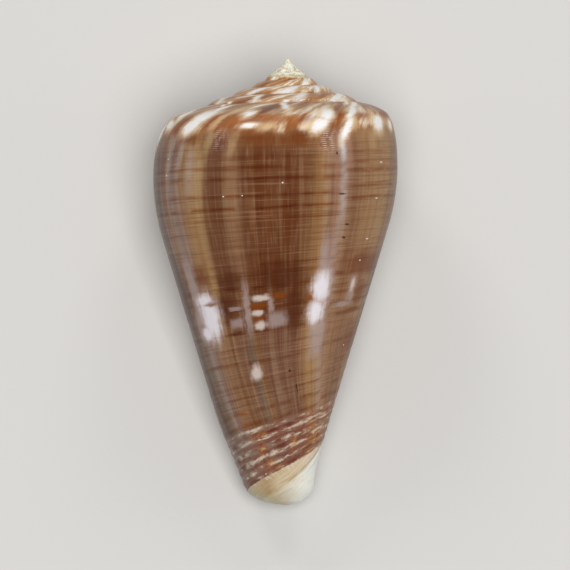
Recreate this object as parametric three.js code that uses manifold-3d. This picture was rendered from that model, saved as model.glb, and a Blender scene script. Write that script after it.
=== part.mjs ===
// Cone shell: one thick-walled coiled shell, lying on its aperture side with its back up.
//
// The whole surface comes from one rule. A profile, drawn in a half-plane that turns about the
// coiling axis, widens and deepens as it turns. Growth is counted in turns: 0 is the middle of the
// back of the last whorl, earlier whorls are negative and the outer lip is at lipTurn.
// Radii are measured from the coiling axis and depths down that axis from the apex, in mm.
import * as THREE from "three";
import { mergeVertices } from "three/addons/utils/BufferGeometryUtils.js";
import Module from "manifold-3d";

// Overall size
const shellLength = 55;
const shellColour = 0x9a6a48;
const shellRoughness = 0.35;

// Growth of the last whorl's shoulder
const shoulderRadius = 15;
const shoulderGrowth = 0.42;
const lipTurn = 0.361;
const curlStartTurn = 0.22;
const lipCurl = 1.2;

// The suture line, where the next whorl joins on
const sutureRadius = 13.13;
const sutureGrowth = 0.327;
const sutureSlowing = 0.0213;
const nippleDepthFactor = 1.26;
const nippleDepthPower = 0.75;
const nippleEdge = 2.2;
const spireDepthFactor = 1.558;
const spireDepthPower = 0.58;

// Profile of one whorl: top ramp, rounded shoulder, side
const rampSag = 0.65;
const lastRampSag = 0.3;
const sagTurn = 0.25;
const rampPower = 3;
const shoulderDrop = 6.9;
const shoulderDropGrowth = 0.25;
const shoulderReach = 0.6;
const shoulderHang = 0.5;
const sideSlope = 0.305;
const sideEasing = 7.7;

// Base: the last smooth band, the neck and the rounded tip
const bandMiddleDepth = 50.1;
const bandGrowth = 0.314;
const bandSlowing = 0.25;
const neckStart = 43.2;
const neckRadius = 4.1;
const neckBlend = 0.6;
const columellaRadius = 1.2;
const columellaEasing = 0.8;
const tipStart = 52.66;
const tipSlant = 0.05;
const innerShrink = 0.3;

// Chamber behind the aperture
const wallThickness = 1.3;
const lipThickness = 0.9;
const lipTaperTurns = 0.1;
const chamberTurns = 1.15;
const notchTurns = 0.1;

// Resting position: turns about the coiling axis, then tips the spire up
const restRoll = 0;
const restPitch = 11.7;
const restTrim = 0.2;

// Mesh: columns to a turn and rows along the profile
const columns = 48;
const apexTurn = -4.6;
const rampRows = 4;
const shoulderRows = 6;
const sideRows = 12;
const baseRows = 4;
const notchRows = 2;
const nippleRings = [0.3, 0.7];
const tipFractions = [0.8, 0.96, 1];
const mergeDistance = 0.001;

const joinRow = rampRows;
const cornerRow = joinRow + 1;
const widestRow = joinRow + shoulderRows;
const baseRow = widestRow + sideRows;
const floorRow = baseRow + baseRows;
const poleRow = floorRow + tipFractions.length - 1;

const mix = (a, b, t) => a + (b - a) * t;
const clamp01 = (t) => Math.min(Math.max(t, 0), 1);
const smooth = (t) => clamp01(t) ** 2 * (3 - 2 * clamp01(t));

// Radius of the suture line that the next whorl joins at
function joinRadius(turn) {
  return sutureRadius * Math.exp(sutureGrowth * turn - sutureSlowing * turn ** 2);
}

// Depth of the spire's concave outline at a radius; inside the nipple it is a steeper cone
function spireDepth(radius) {
  if (radius < nippleEdge) return nippleDepthFactor * radius ** nippleDepthPower;
  return spireDepthFactor * radius ** spireDepthPower;
}

// Radius of the shoulder, curling in a little near the lip
function widestRadius(turn) {
  const curl = lipCurl * Math.max(0, turn - curlStartTurn) ** 2;
  return shoulderRadius * Math.exp(shoulderGrowth * turn - curl);
}

// Depth where the ribbed side gives way to the smooth base band
function bandDepth(turn) {
  const slowing = bandSlowing * Math.max(0, turn) ** 2;
  return bandMiddleDepth * Math.exp(bandGrowth * turn - slowing);
}

// The few numbers that fix the profile at one moment of growth
function whorlAt(turn) {
  const r0 = joinRadius(turn - 1);
  const r1 = joinRadius(turn);
  const h1 = spireDepth(r1);
  const widest = widestRadius(turn);
  const widestDepth = h1 + shoulderDrop * Math.exp(shoulderDropGrowth * turn);
  const shrink = Math.exp(innerShrink * Math.min(0, turn - (lipTurn - 1 - notchTurns)));
  const sag = mix(lastRampSag, rampSag, clamp01(sagTurn - turn));
  const band = bandDepth(turn);
  return { r0, h0: spireDepth(r0), r1, h1, sag, widest, widestDepth, band, shrink };
}

// Radius of the side at a depth, through the neck to the rounded tip
function sideRadius(w, depth) {
  const below = depth - w.widestDepth;
  const eased = (sideSlope * below ** 2) / (2 * sideEasing);
  const straight = sideSlope * (below - sideEasing / 2);
  const side = w.widest - (below < sideEasing ? eased : straight);
  const gap = side - columellaRadius;
  const kept = (side + columellaRadius + Math.hypot(gap, columellaEasing)) / 2;
  const start = neckStart * w.shrink;
  const end = shellLength * w.shrink;
  const neck = neckBlend * clamp01((depth - start) / (end - start)) ** 2;
  const round = clamp01((depth - tipStart * w.shrink) / (end - tipStart * w.shrink));
  return mix(kept, neckRadius * w.shrink, neck) * Math.sqrt(1 - round ** 2);
}

// Point on the top ramp, between the suture behind and the suture to come
function rampPoint(w, t) {
  const depth = mix(w.h0, w.h1, t * (1 - w.sag) + w.sag * t ** rampPower);
  return [mix(w.r0, w.r1, t), depth];
}

// Point on the rounded shoulder, a Bezier curve that leaves along the ramp and ends upright
function shoulderPoint(w, t) {
  const bend = 1 + w.sag * (rampPower - 1);
  const slope = (bend * (w.h1 - w.h0)) / (w.r1 - w.r0);
  const reach = shoulderReach * (w.widest - w.r1);
  const hang = shoulderHang * (w.widestDepth - w.h1);
  const curve = new THREE.CubicBezierCurve(
    new THREE.Vector2(w.r1, w.h1),
    new THREE.Vector2(w.r1 + reach, w.h1 + reach * slope),
    new THREE.Vector2(w.widest, w.widestDepth - hang),
    new THREE.Vector2(w.widest, w.widestDepth),
  );
  return curve.getPoint(t).toArray();
}

// Point on the base, from the end of the ribbed side to the pole at the tip
function basePoint(w, row) {
  const end = shellLength * w.shrink;
  const start = tipStart * w.shrink;
  const floor = mix(start, end, tipFractions[0]);
  const past = row - floorRow;
  const along = mix(w.band, floor, (row - baseRow) / baseRows);
  const depth = past > 0 ? mix(start, end, tipFractions[past]) : along;
  return [row === poleRow ? 0 : sideRadius(w, depth), depth];
}

// Point of the outer face in its half-plane, as [radius, depth]
function profilePoint(turn, row) {
  const w = whorlAt(turn);
  if (row <= joinRow) return rampPoint(w, row / rampRows);
  if (row <= widestRow) return shoulderPoint(w, (row - joinRow) / shoulderRows);
  if (row > baseRow) return basePoint(w, row);
  const depth = mix(w.widestDepth, w.band, (row - widestRow) / sideRows);
  return [sideRadius(w, depth), depth];
}

// How far the growth lines, and so the lip, sweep back at a row: this opens the notch at the base
function sweepBack(row) {
  return notchTurns * smooth((row - baseRow + notchRows) / (baseRows + notchRows));
}

// Place a profile point in space: +Y towards the spire, +Z the back, growth turning from +X to -X
function placed([radius, depth], turn) {
  const angle = 2 * Math.PI * turn;
  const tip = smooth((depth - neckStart) / (shellLength - neckStart));
  const slant = tipSlant * radius * tip * Math.sin(angle);
  return new THREE.Vector3(-radius * Math.sin(angle), -depth - slant, radius * Math.cos(angle));
}

// Outer face, at a column counted back from the lip
function outerPoint(column, row) {
  const turn = lipTurn - sweepBack(row) + column / columns;
  return placed(profilePoint(turn, row), turn);
}

// Thickness of the wall, thinner towards the lip and in the earlier whorls
function wallAt(turn, edge) {
  const grown = widestRadius(turn) / shoulderRadius;
  const toEdge = smooth((edge - turn) / lipTaperTurns);
  return mix(lipThickness, wallThickness * grown, toEdge);
}

// The profile moved into the whorl by the thickness of the wall
function inwardPoint(turn, row, edge) {
  const before = profilePoint(turn, row - 1);
  const after = profilePoint(turn, row + 1);
  const [radius, depth] = profilePoint(turn, row);
  const run = Math.hypot(after[0] - before[0], after[1] - before[1]);
  const share = wallAt(turn, edge) / run;
  return [radius - share * (after[1] - before[1]), depth + share * (after[0] - before[0])];
}

// Inner face of the outer wall. Its first and last rows lie on the whorl inside it, and its
// last few rows are the chamber's floor, which runs across to that whorl.
function innerPoint(column, row) {
  if (row === 0) return outerPoint(column - columns, cornerRow);
  if (row === floorRow) return outerPoint(column - columns, floorRow);
  const edge = lipTurn - sweepBack(row);
  const turn = edge + column / columns;
  const side = inwardPoint(turn, Math.min(row, baseRow), edge);
  const core = profilePoint(turn - 1, floorRow);
  const across = Math.max(0, row - baseRow) / baseRows;
  return placed([mix(side[0], core[0], across), mix(side[1], core[1], across)], turn);
}

// Triangles are gathered as points; equal points are merged at the end
const corners = [];

function triangle(a, b, c) {
  corners.push(a, b, c);
}

function quad(a, b, c, d) {
  triangle(a, b, c);
  triangle(a, c, d);
}

// A sheet over columns and rows, seen from the side its point function faces
function sheet(pointAt, firstColumn, lastColumn, firstRow, lastRow, outward) {
  for (let column = firstColumn; column < lastColumn; column += 1) {
    for (let row = firstRow; row < lastRow; row += 1) {
      const a = pointAt(column, row);
      const b = pointAt(column + 1, row);
      const c = pointAt(column + 1, row + 1);
      const d = pointAt(column, row + 1);
      if (outward) quad(a, b, c, d);
      else quad(a, d, c, b);
    }
  }
}

// Close the strip between two lines of points that share both of their ends
function zip(first, second) {
  let i = 0;
  let j = 0;
  while (i < first.length - 1 || j < second.length - 1) {
    const nearFirst = (i + 1) / first.length <= (j + 1) / second.length;
    if (j === second.length - 1 || (nearFirst && i < first.length - 1)) {
      triangle(first[i], first[i + 1], second[j]);
      i += 1;
    } else {
      triangle(first[i], second[j + 1], second[j]);
      j += 1;
    }
  }
}

const line = (pointAt, column, from, to) =>
  Array.from({ length: to - from + 1 }, (_, i) => pointAt(column, from + i));

// The outer face: the spire's whorls up to the suture, then the last whorl down to the pole
function addOuterFace() {
  const firstColumn = Math.round((apexTurn - lipTurn) * columns);
  sheet(outerPoint, firstColumn, -columns, 0, joinRow, true);
  sheet(outerPoint, -columns, 0, 0, poleRow, true);
  return firstColumn;
}

// Point on the worn first whorls, which are a plain small cone
function nipplePoint(column, ring) {
  const radius = nippleRings[ring];
  return placed([radius, spireDepth(radius)], lipTurn + column / columns);
}

// The cone of first whorls, closed from the apex to the start of the spire
function addNipple(firstColumn) {
  const lastRing = nippleRings.length - 1;
  const apex = new THREE.Vector3(0, 0, 0);
  for (let column = firstColumn; column < firstColumn + columns; column += 1) {
    const a = nipplePoint(column, lastRing);
    const b = nipplePoint(column + 1, lastRing);
    triangle(apex, nipplePoint(column + 1, 0), nipplePoint(column, 0));
    quad(a, b, outerPoint(column + 1, 0), outerPoint(column, 0));
  }
  sheet(nipplePoint, firstColumn, firstColumn + columns, 0, lastRing, true);
  for (let row = 0; row < joinRow; row += 1) {
    const inner = nipplePoint(firstColumn, lastRing);
    triangle(inner, outerPoint(firstColumn, row), outerPoint(firstColumn, row + 1));
  }
}

// The chamber: the inner face of the wall, the whorl inside it, and the end that closes it
function addChamber() {
  const deepest = -Math.round(chamberTurns * columns);
  sheet(innerPoint, deepest, 0, 0, floorRow, false);
  sheet(outerPoint, deepest - columns, -columns, cornerRow, floorRow, true);
  const wall = line(innerPoint, deepest, 0, floorRow);
  const core = line(outerPoint, deepest - columns, cornerRow, floorRow);
  zip(core, wall);
}

// The lip's edge, which joins the two faces of the wall and runs round the tip
function addLip() {
  for (let row = 0; row < poleRow; row += 1) {
    const inside = (r) => (r <= floorRow ? innerPoint(0, r) : outerPoint(-columns, r));
    quad(outerPoint(0, row), inside(row), inside(row + 1), outerPoint(0, row + 1));
  }
}

function shellGeometry() {
  const firstColumn = addOuterFace();
  addNipple(firstColumn);
  addChamber();
  addLip();
  const geometry = new THREE.BufferGeometry().setFromPoints(corners);
  geometry.rotateY(THREE.MathUtils.degToRad(restRoll));
  geometry.rotateX(THREE.MathUtils.degToRad(restPitch));
  geometry.computeBoundingBox();
  geometry.translate(0, 0, -geometry.boundingBox.min.z - restTrim);
  return geometry;
}

const wasm = await Module();
wasm.setup();

// A closed geometry as a solid that can be cut
function solidFrom(geometry) {
  const bare = geometry.index ? geometry.toNonIndexed() : geometry;
  bare.deleteAttribute("normal");
  bare.deleteAttribute("uv");
  const merged = mergeVertices(bare, mergeDistance);
  const triVerts = [];
  const index = merged.index.array;
  for (let i = 0; i < index.length; i += 3) {
    const [a, b, c] = [index[i], index[i + 1], index[i + 2]];
    if (a !== b && b !== c && c !== a) triVerts.push(a, b, c);
  }
  return new wasm.Manifold(
    new wasm.Mesh({
      numProp: 3,
      vertProperties: merged.attributes.position.array,
      triVerts: new Uint32Array(triVerts),
    }),
  );
}

function geometryFrom(solid) {
  const mesh = solid.getMesh();
  const geometry = new THREE.BufferGeometry();
  geometry.setAttribute("position", new THREE.BufferAttribute(mesh.vertProperties, 3));
  geometry.setIndex(new THREE.BufferAttribute(mesh.triVerts, 1));
  return geometry;
}

// The shell with small flats worn where it touches the table, centred over the origin
function restingShell() {
  const span = shellLength * 4;
  const ground = new THREE.BoxGeometry(span, span, shellLength);
  ground.translate(0, 0, -shellLength / 2);
  const geometry = geometryFrom(solidFrom(shellGeometry()).subtract(solidFrom(ground)));
  geometry.computeBoundingBox();
  const middle = geometry.boundingBox.getCenter(new THREE.Vector3());
  geometry.translate(-middle.x, -middle.y, 0);
  geometry.computeVertexNormals();
  return geometry;
}

const material = new THREE.MeshStandardMaterial({
  color: shellColour,
  roughness: shellRoughness,
  metalness: 0,
});
const shell = new THREE.Mesh(restingShell(), material);
shell.name = "shell";

const part = new THREE.Group();
part.add(shell);

export default part;
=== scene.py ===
import math

import bpy
from bpy.props import FloatProperty, FloatVectorProperty, IntProperty, PointerProperty
from mathutils import Matrix, Vector


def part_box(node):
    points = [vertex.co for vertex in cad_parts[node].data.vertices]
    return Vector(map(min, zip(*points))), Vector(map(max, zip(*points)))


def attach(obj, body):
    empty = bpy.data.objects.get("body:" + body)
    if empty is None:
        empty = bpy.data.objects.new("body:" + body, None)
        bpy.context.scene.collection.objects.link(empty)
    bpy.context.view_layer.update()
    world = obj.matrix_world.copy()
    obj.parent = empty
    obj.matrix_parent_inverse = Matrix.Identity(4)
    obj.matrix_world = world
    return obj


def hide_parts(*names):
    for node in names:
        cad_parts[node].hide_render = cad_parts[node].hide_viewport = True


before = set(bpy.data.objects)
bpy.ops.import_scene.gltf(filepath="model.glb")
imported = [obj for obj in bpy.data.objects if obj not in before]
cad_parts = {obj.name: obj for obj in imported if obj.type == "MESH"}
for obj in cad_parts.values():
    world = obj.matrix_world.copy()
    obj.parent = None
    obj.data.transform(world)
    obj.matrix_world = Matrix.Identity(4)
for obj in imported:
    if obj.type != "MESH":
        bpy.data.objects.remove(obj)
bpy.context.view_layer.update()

bl_info = {
    "name": "Cone Shell",
    "version": (1, 0, 0),
    "blender": (4, 5, 0),
    "location": "View3D > Sidebar > Cone Shell",
    "description": "Grows a cone shell by its coiling rule and lays it on a studio floor",
    "category": "Add Mesh",
}

MM = 0.001

# Growth is counted in turns: 0 is the middle of the back, the lip is at LIP_TURN and earlier
# whorls are negative. Rows run along one whorl's profile, from the suture down to the tip.
LIP_TURN = 0.361
CURL_START_TURN = 0.22
LIP_CURL = 1.2
SUTURE_SLOWING = 0.0213
NIPPLE_EDGE = 2.35
NIPPLE_EASE = 0.16
NIPPLE_DEPTH = (1.26, 0.75)
SPIRE_DEPTH = (1.558, 0.58)
RAMP_SAG = 0.65
LAST_RAMP_SAG = 0.3
SAG_TURN = 0.25
RAMP_POWER = 3
SHOULDER_DROP_GROWTH = 0.25
SHOULDER_REACH = 0.6
SHOULDER_HANG = 0.5
SIDE_EASING = 7.7
BAND_GROWTH = 0.314
BAND_SLOWING = 0.25
NECK_START = 43.2
NECK_RADIUS = 4.1
NECK_BLEND = 0.6
COLUMELLA_RADIUS = 1.2
COLUMELLA_EASING = 0.8
TIP_START = 52.66
TIP_END = 55
TIP_SLANT = 0.05
FLOOR_FRACTION = 0.8
INNER_SHRINK = 0.3
LIP_TAPER_TURNS = 0.1
LIP_BULGE = 0.00016
CHAMBER_TURNS = 1.146
CHAMBER_CROWDING = 1.4
NOTCH_TURNS = 0.1
NOTCH_ROW = 20

JOIN_ROW = 4
CORNER_ROW = 5
WIDEST_ROW = 10
BAND_ROW = 22
FLOOR_ROW = 26
POLE_ROW = 28

# Cords round the base: rows from one to the next, the row of one crest, and the first and last
CORD_PITCH = 0.36
CORD_ROW = 21.27
CORD_ROWS = (20.1, 22.1)

# Mesh: first row, last row and steps between them
ROW_LADDER = ((0, 4, 20), (4, 10, 24), (10, 18, 64), (18, 22, 76), (22, 26, 26), (26, 28, 10))
COLUMNS = 240
SPIRE_COLUMNS = 1190
CAP_RINGS = 10
CHAMBER_COLUMNS = 26
LIP_STEPS = 4
MERGE_DISTANCE = 0.5e-6
FIRST_TURN = LIP_TURN - 1 - SPIRE_COLUMNS / COLUMNS

# Resting place: tipped spire up, with the apex here in the row frame
REST_PITCH = math.radians(11.7)
APEX = (0.0015674, 0.0270019, 0.0147886)

# Picture: width of the view at the shell, and its middle from the apex, to the side and down.
# The sensor is in mm, and the lights point at LIGHT_AIM.
FRAME_WIDTH = 0.0703
AIM_SIDE = -0.00037
AIM_DEPTH = 0.02799
SENSOR_WIDTH = 36.0
LIGHT_AIM = (0, 0, 0.012)
FLOOR_HALF = 6.0


# ---------------------------------------------------------------- sums written as nodes


def sum_of(operation, swapped=False):
    """A Num method that adds one sum node."""

    def method(self, other):
        return calc(operation, other, self) if swapped else calc(operation, self, other)

    return method


class Num:
    """A number carried by a node socket, so that a sum of nodes reads as a sum."""

    def __init__(self, socket):
        self.socket = socket

    __add__ = sum_of("ADD")
    __radd__ = sum_of("ADD", swapped=True)
    __sub__ = sum_of("SUBTRACT")
    __rsub__ = sum_of("SUBTRACT", swapped=True)
    __mul__ = sum_of("MULTIPLY")
    __rmul__ = sum_of("MULTIPLY", swapped=True)
    __truediv__ = sum_of("DIVIDE")
    __pow__ = sum_of("POWER")

    def __neg__(self):
        return calc("MULTIPLY", self, -1)


def put(socket, value):
    """Link a carried number or a socket, or set a plain value."""
    if isinstance(value, Num):
        value = value.socket
    if isinstance(value, bpy.types.NodeSocket):
        socket.id_data.links.new(value, socket)
    else:
        socket.default_value = value


def add(tree, kind, inputs=(), **settings):
    """A new node with its settings and its inputs, by name or by place."""
    node = tree.nodes.new(kind)
    for name, value in settings.items():
        setattr(node, name, value)
    for key, value in dict(inputs).items():
        put(node.inputs[key], value)
    return node


def calc(operation, *values, clamp=False):
    tree = next(v.socket.id_data for v in values if isinstance(v, Num))
    node = add(tree, "ShaderNodeMath", enumerate(values), operation=operation, use_clamp=clamp)
    return Num(node.outputs[0])


def exp(x):
    return calc("EXPONENT", x)


def sqrt(x):
    return calc("SQRT", x)


def least(a, b):
    return calc("MINIMUM", a, b)


def most(a, b):
    return calc("MAXIMUM", a, b)


def over(a, b):
    """1 where a is more than b, else 0."""
    return calc("GREATER_THAN", a, b)


def clamp01(x):
    return calc("ADD", x, 0, clamp=True)


def mix(a, b, t):
    return (b - a) * t + a


def smooth(x):
    t = clamp01(x)
    return t * t * (3 - 2 * t)


def rise(x, start, width):
    """Eases from 0 at start to 1 a width later; with a negative width it falls to 0 at start."""
    return smooth((x - start) / width)


def band_of(x, low, high, ease):
    return smooth((x - low) / ease + 0.5) * (1 - smooth((x - high) / ease + 0.5))


def ridge(x, middle, half):
    """1 at the middle, dying away to either side."""
    away = (x - middle) / half
    return exp(away * away * -1)


def crests(x, pitch, first):
    """A wave with 1 on each crest and 0 half way between two."""
    return calc("COSINE", (x - first) * (math.tau / pitch)) * 0.5 + 0.5


def hypot(a, b):
    return sqrt(a * a + b * b)


def vector(tree, x, y, z=0.0):
    return add(tree, "ShaderNodeCombineXYZ", {0: x, 1: y, 2: z}).outputs[0]


def vector_sum(tree, operation, first, second):
    given = {0: first, "Scale" if operation == "SCALE" else 1: second}
    return add(tree, "ShaderNodeVectorMath", given, operation=operation)


def noise(tree, place, scale=1.0, detail=2.0, roughness=0.5):
    given = {"Vector": place, "Scale": scale, "Detail": detail, "Roughness": roughness}
    return Num(add(tree, "ShaderNodeTexNoise", given).outputs[0])


def sockets(tree, direction, names, kind="NodeSocketFloat"):
    for name in names:
        tree.interface.new_socket(name=name, in_out=direction, socket_type=kind)


def new_group(name, inputs=(), outputs=(), kind="GeometryNodeTree"):
    """An empty group with number inputs and outputs."""
    tree = bpy.data.node_groups.new(name, kind)
    sockets(tree, "INPUT", inputs)
    sockets(tree, "OUTPUT", outputs)
    return tree


def give(tree, *values):
    """Link a group's results to its outputs."""
    out = tree.nodes.new("NodeGroupOutput")
    for socket, value in zip(out.inputs, values):
        put(socket, value)


def use(tree, group, given, source=None):
    """A group placed in a tree; inputs not given come from the tree's own inputs by name."""
    shader = tree.bl_idname == "ShaderNodeTree"
    node = add(tree, "ShaderNodeGroup" if shader else "GeometryNodeGroup", node_tree=group)
    for socket in node.inputs:
        if socket.name in given:
            put(socket, given[socket.name])
        elif source:
            put(socket, source.outputs[socket.name])
    return node


# ---------------------------------------------------------------- settings a user would change


def length(name, description, default):
    return FloatProperty(name=name, description=description, default=default, unit="LENGTH")


def share(name, description, default):
    return FloatProperty(name=name, description=description, default=default)


def colour(name, description, code):
    return FloatVectorProperty(
        name=name, description=description, default=linear(code), size=3, subtype="COLOR"
    )


def linear(code):
    """A display colour such as 8a6a4d as linear red, green and blue."""
    parts = [int(code[i : i + 2], 16) / 255 for i in (0, 2, 4)]
    return tuple(c / 12.92 if c <= 0.04045 else ((c + 0.055) / 1.055) ** 2.4 for c in parts)


class ShellGrowth(bpy.types.PropertyGroup):
    """Sizes that the coiling rule grows from."""

    shell_length: length("Shell Length", "From the apex to the end of the base", 0.055)
    shoulder_radius: length("Shoulder Radius", "At the middle of the back", 0.015)
    shoulder_growth: share("Shoulder Growth", "Growth of the shoulder over a turn, as a log", 0.42)
    suture_radius: length("Suture Radius", "Where the next whorl joins on", 0.01313)
    suture_growth: share("Suture Growth", "Growth of the suture over a turn, as a log", 0.327)
    shoulder_drop: length("Shoulder Drop", "From the suture down to the widest point", 0.0069)
    side_slope: share("Side Slope", "How fast the side narrows towards the base", 0.305)
    band_depth: length("Band Depth", "From the apex down to the smooth base band", 0.0501)
    wall_thickness: length("Wall Thickness", "Of the last whorl's wall", 0.0013)
    lip_thickness: length("Lip Thickness", "Of the wall at the outer lip", 0.0009)
    cord_height: length("Cord Height", "Of the raised cords round the base", 0.0001)
    wave_height: length("Wave Height", "Of the waves left along the lip's path", 0.00009)
    crust_height: length("Crust Height", "Of the lumps on the worn first whorls", 0.00028)
    seed: IntProperty(name="Seed", description="Picks one set of uneven growth", default=3)


class ShellColours(bpy.types.PropertyGroup):
    """Colours of the growth bands and of the lining."""

    chestnut: colour("Chestnut", "Darkest brown of the back", "63371b")
    umber: colour("Umber", "Dull dark brown of the flanks", "573f33")
    russet: colour("Russet", "Warm brown of the back", "6d462d")
    bark: colour("Bark", "Middle brown", "7c5638")
    mauve: colour("Mauve Brown", "Reddish brown of the lower side", "75523f")
    taupe: colour("Taupe", "Greyish brown of the lower side", "74604f")
    fawn: colour("Fawn", "Paler brown of the growth bands", "8b664a")
    tan: colour("Tan", "Yellow brown of the growth bands", "966e47")
    sand: colour("Sand", "Palest yellow brown", "a07a4e")
    # this colour also carries a painted sheen: it is only used for the band at turn 0.172
    ash: colour("Ash", "Cool grey brown", "8f7a71")
    buff: colour("Buff", "Palest growth band, beside the scar", "a28570")
    lining: colour("Lining", "Inside the aperture", "e9e2e2")


class StageLook(bpy.types.PropertyGroup):
    """Floor, light and camera."""

    floor: colour("Floor", "Colour of the floor", "d6d4d0")
    lens: share("Lens", "Focal length in mm", 500.0)
    key: share("Key Light", "Strength of each main light", 0.9)
    rim: share("Side Lights", "Strength of the side lights", 0.25)
    fill: share("Fill Light", "Strength of the broad light above", 8.6)
    sky: share("Sky", "Strength of the even light", 0.14)


SIZE_PROPS = tuple(name for name in ShellGrowth.__annotations__ if name != "seed")
SIZE_NAMES = tuple(prop.replace("_", " ").title() for prop in SIZE_PROPS)
PROFILE_INPUTS = SIZE_NAMES[:8]
WALL_INPUTS = SIZE_NAMES[:10]
RELIEF_INPUTS = SIZE_NAMES[10:]
PLAIN_INPUTS = ("Shoulder Growth", "Suture Growth", "Side Slope")


# ---------------------------------------------------------------- the coiling rule


def group_inputs(tree):
    """The tree's own inputs by name, with lengths turned from metres into mm."""
    source = tree.nodes.new("NodeGroupInput")
    values = {}
    for socket in source.outputs:
        if socket.name and socket.bl_idname.startswith("NodeSocketFloat"):
            values[socket.name] = Num(socket)
    for name in SIZE_NAMES:
        if name in values and name not in PLAIN_INPUTS:
            values[name] = values[name] / MM
    return source, values


def join_radius(turn, size):
    bend = turn * turn * -SUTURE_SLOWING
    return size["Suture Radius"] * exp(turn * size["Suture Growth"] + bend)


def spire_depth(radius):
    inner = NIPPLE_DEPTH[0] * radius ** NIPPLE_DEPTH[1]
    outer = SPIRE_DEPTH[0] * radius ** SPIRE_DEPTH[1]
    return mix(inner, outer, rise(radius, NIPPLE_EDGE - NIPPLE_EASE / 2, NIPPLE_EASE))


def widest_radius(turn, size):
    late = most(turn - CURL_START_TURN, 0)
    return size["Shoulder Radius"] * exp(turn * size["Shoulder Growth"] - late * late * LIP_CURL)


def whorl_at(turn, size):
    """The few numbers that fix the profile at one moment of growth."""
    w = {}
    core = join_radius(turn * 0 + FIRST_TURN, size)
    w["r0"] = most(join_radius(turn - 1, size), core)
    w["r1"] = most(join_radius(turn, size), core)
    w["h0"] = spire_depth(w["r0"])
    w["h1"] = spire_depth(w["r1"])
    w["widest"] = widest_radius(turn, size)
    w["drop"] = w["h1"] + size["Shoulder Drop"] * exp(turn * SHOULDER_DROP_GROWTH)
    w["shrink"] = exp(least(turn - (LIP_TURN - 1 - NOTCH_TURNS), 0) * INNER_SHRINK)
    w["sag"] = mix(LAST_RAMP_SAG, RAMP_SAG, clamp01(SAG_TURN - turn))
    late = most(turn, 0)
    w["band"] = size["Band Depth"] * exp(turn * BAND_GROWTH - late * late * BAND_SLOWING)
    return w


def ramp_point(w, row):
    t = clamp01(row / JOIN_ROW)
    drop = t * (1 - w["sag"]) + w["sag"] * t**RAMP_POWER
    return mix(w["r0"], w["r1"], t), mix(w["h0"], w["h1"], drop)


def shoulder_point(w, row):
    t = clamp01((row - JOIN_ROW) / (WIDEST_ROW - JOIN_ROW))
    s = 1 - t
    run = most(w["r1"] - w["r0"], 0.01)
    slope = (w["sag"] * (RAMP_POWER - 1) + 1) * (w["h1"] - w["h0"]) / run
    reach = (w["widest"] - w["r1"]) * SHOULDER_REACH
    hang = (w["drop"] - w["h1"]) * SHOULDER_HANG
    first = s * s * s
    second = s * s * t * 3
    third = s * t * t * 3
    last = t * t * t
    radius = first * w["r1"] + second * (w["r1"] + reach) + (third + last) * w["widest"]
    depth = first * w["h1"] + second * (w["h1"] + reach * slope)
    return radius, depth + third * (w["drop"] - hang) + last * w["drop"]


def lower_point(w, row, size):
    """The side, the base band and the rounded tip."""
    end = size["Shell Length"] * w["shrink"]
    start = w["shrink"] * TIP_START
    side = mix(w["drop"], w["band"], clamp01((row - WIDEST_ROW) / (BAND_ROW - WIDEST_ROW)))
    floor = mix(start, end, FLOOR_FRACTION)
    base = mix(side, floor, clamp01((row - BAND_ROW) / (FLOOR_ROW - BAND_ROW)))
    first = math.asin(FLOOR_FRACTION)
    bend = clamp01((row - FLOOR_ROW) / (POLE_ROW - FLOOR_ROW)) * (math.pi / 2 - first) + first
    depth = mix(base, mix(start, end, calc("SINE", bend)), over(row, FLOOR_ROW))
    return side_radius(w, depth, start, end, size), depth


def side_radius(w, depth, start, end, size):
    below = depth - w["drop"]
    slope = size["Side Slope"]
    eased = slope * below * below / (2 * SIDE_EASING)
    straight = slope * (below - SIDE_EASING / 2)
    side = w["widest"] - mix(eased, straight, over(below, SIDE_EASING))
    kept = (side + COLUMELLA_RADIUS + hypot(side - COLUMELLA_RADIUS, COLUMELLA_EASING)) / 2
    neck_start = w["shrink"] * NECK_START
    neck = clamp01((depth - neck_start) / (end - neck_start)) ** 2 * NECK_BLEND
    rounding = clamp01((depth - start) / (end - start))
    full = mix(kept, w["shrink"] * NECK_RADIUS, neck)
    return full * sqrt(most(1 - rounding * rounding, 0))


def profile_group():
    """Turn and Row in, Radius and Depth of the outer face out, in mm."""
    tree = new_group("Whorl Profile", ("Turn", "Row", *PROFILE_INPUTS), ("Radius", "Depth"))
    _, size = group_inputs(tree)
    turn, row = size["Turn"], size["Row"]
    w = whorl_at(turn, size)
    ramp = ramp_point(w, row)
    shoulder = shoulder_point(w, row)
    lower = lower_point(w, row, size)
    past_join = over(row, JOIN_ROW)
    past_widest = over(row, WIDEST_ROW)
    give(tree, *(mix(mix(ramp[i], shoulder[i], past_join), lower[i], past_widest) for i in (0, 1)))
    return tree


def placing_group():
    """Radius, Depth and Turn in, a place about the coiling axis out, in metres."""
    tree = new_group("Turn About Axis", ("Radius", "Depth", "Turn"))
    sockets(tree, "OUTPUT", ("Place",), "NodeSocketVector")
    source = tree.nodes.new("NodeGroupInput")
    radius, depth, turn = (Num(source.outputs[i]) for i in range(3))
    angle = turn * math.tau
    sine = calc("SINE", angle)
    tip = rise(depth, NECK_START, TIP_END - NECK_START)
    down = depth + radius * tip * sine * TIP_SLANT
    out = radius * calc("COSINE", angle)
    give(tree, vector(tree, radius * sine * -MM, down * -MM, out * MM))
    return tree


# ---------------------------------------------------------------- sheets of the shell


def mixed_place(tree, amount, first, second):
    node = add(tree, "ShaderNodeMix", {0: amount, 4: first, 5: second}, data_type="VECTOR")
    return node.outputs[1]


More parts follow.
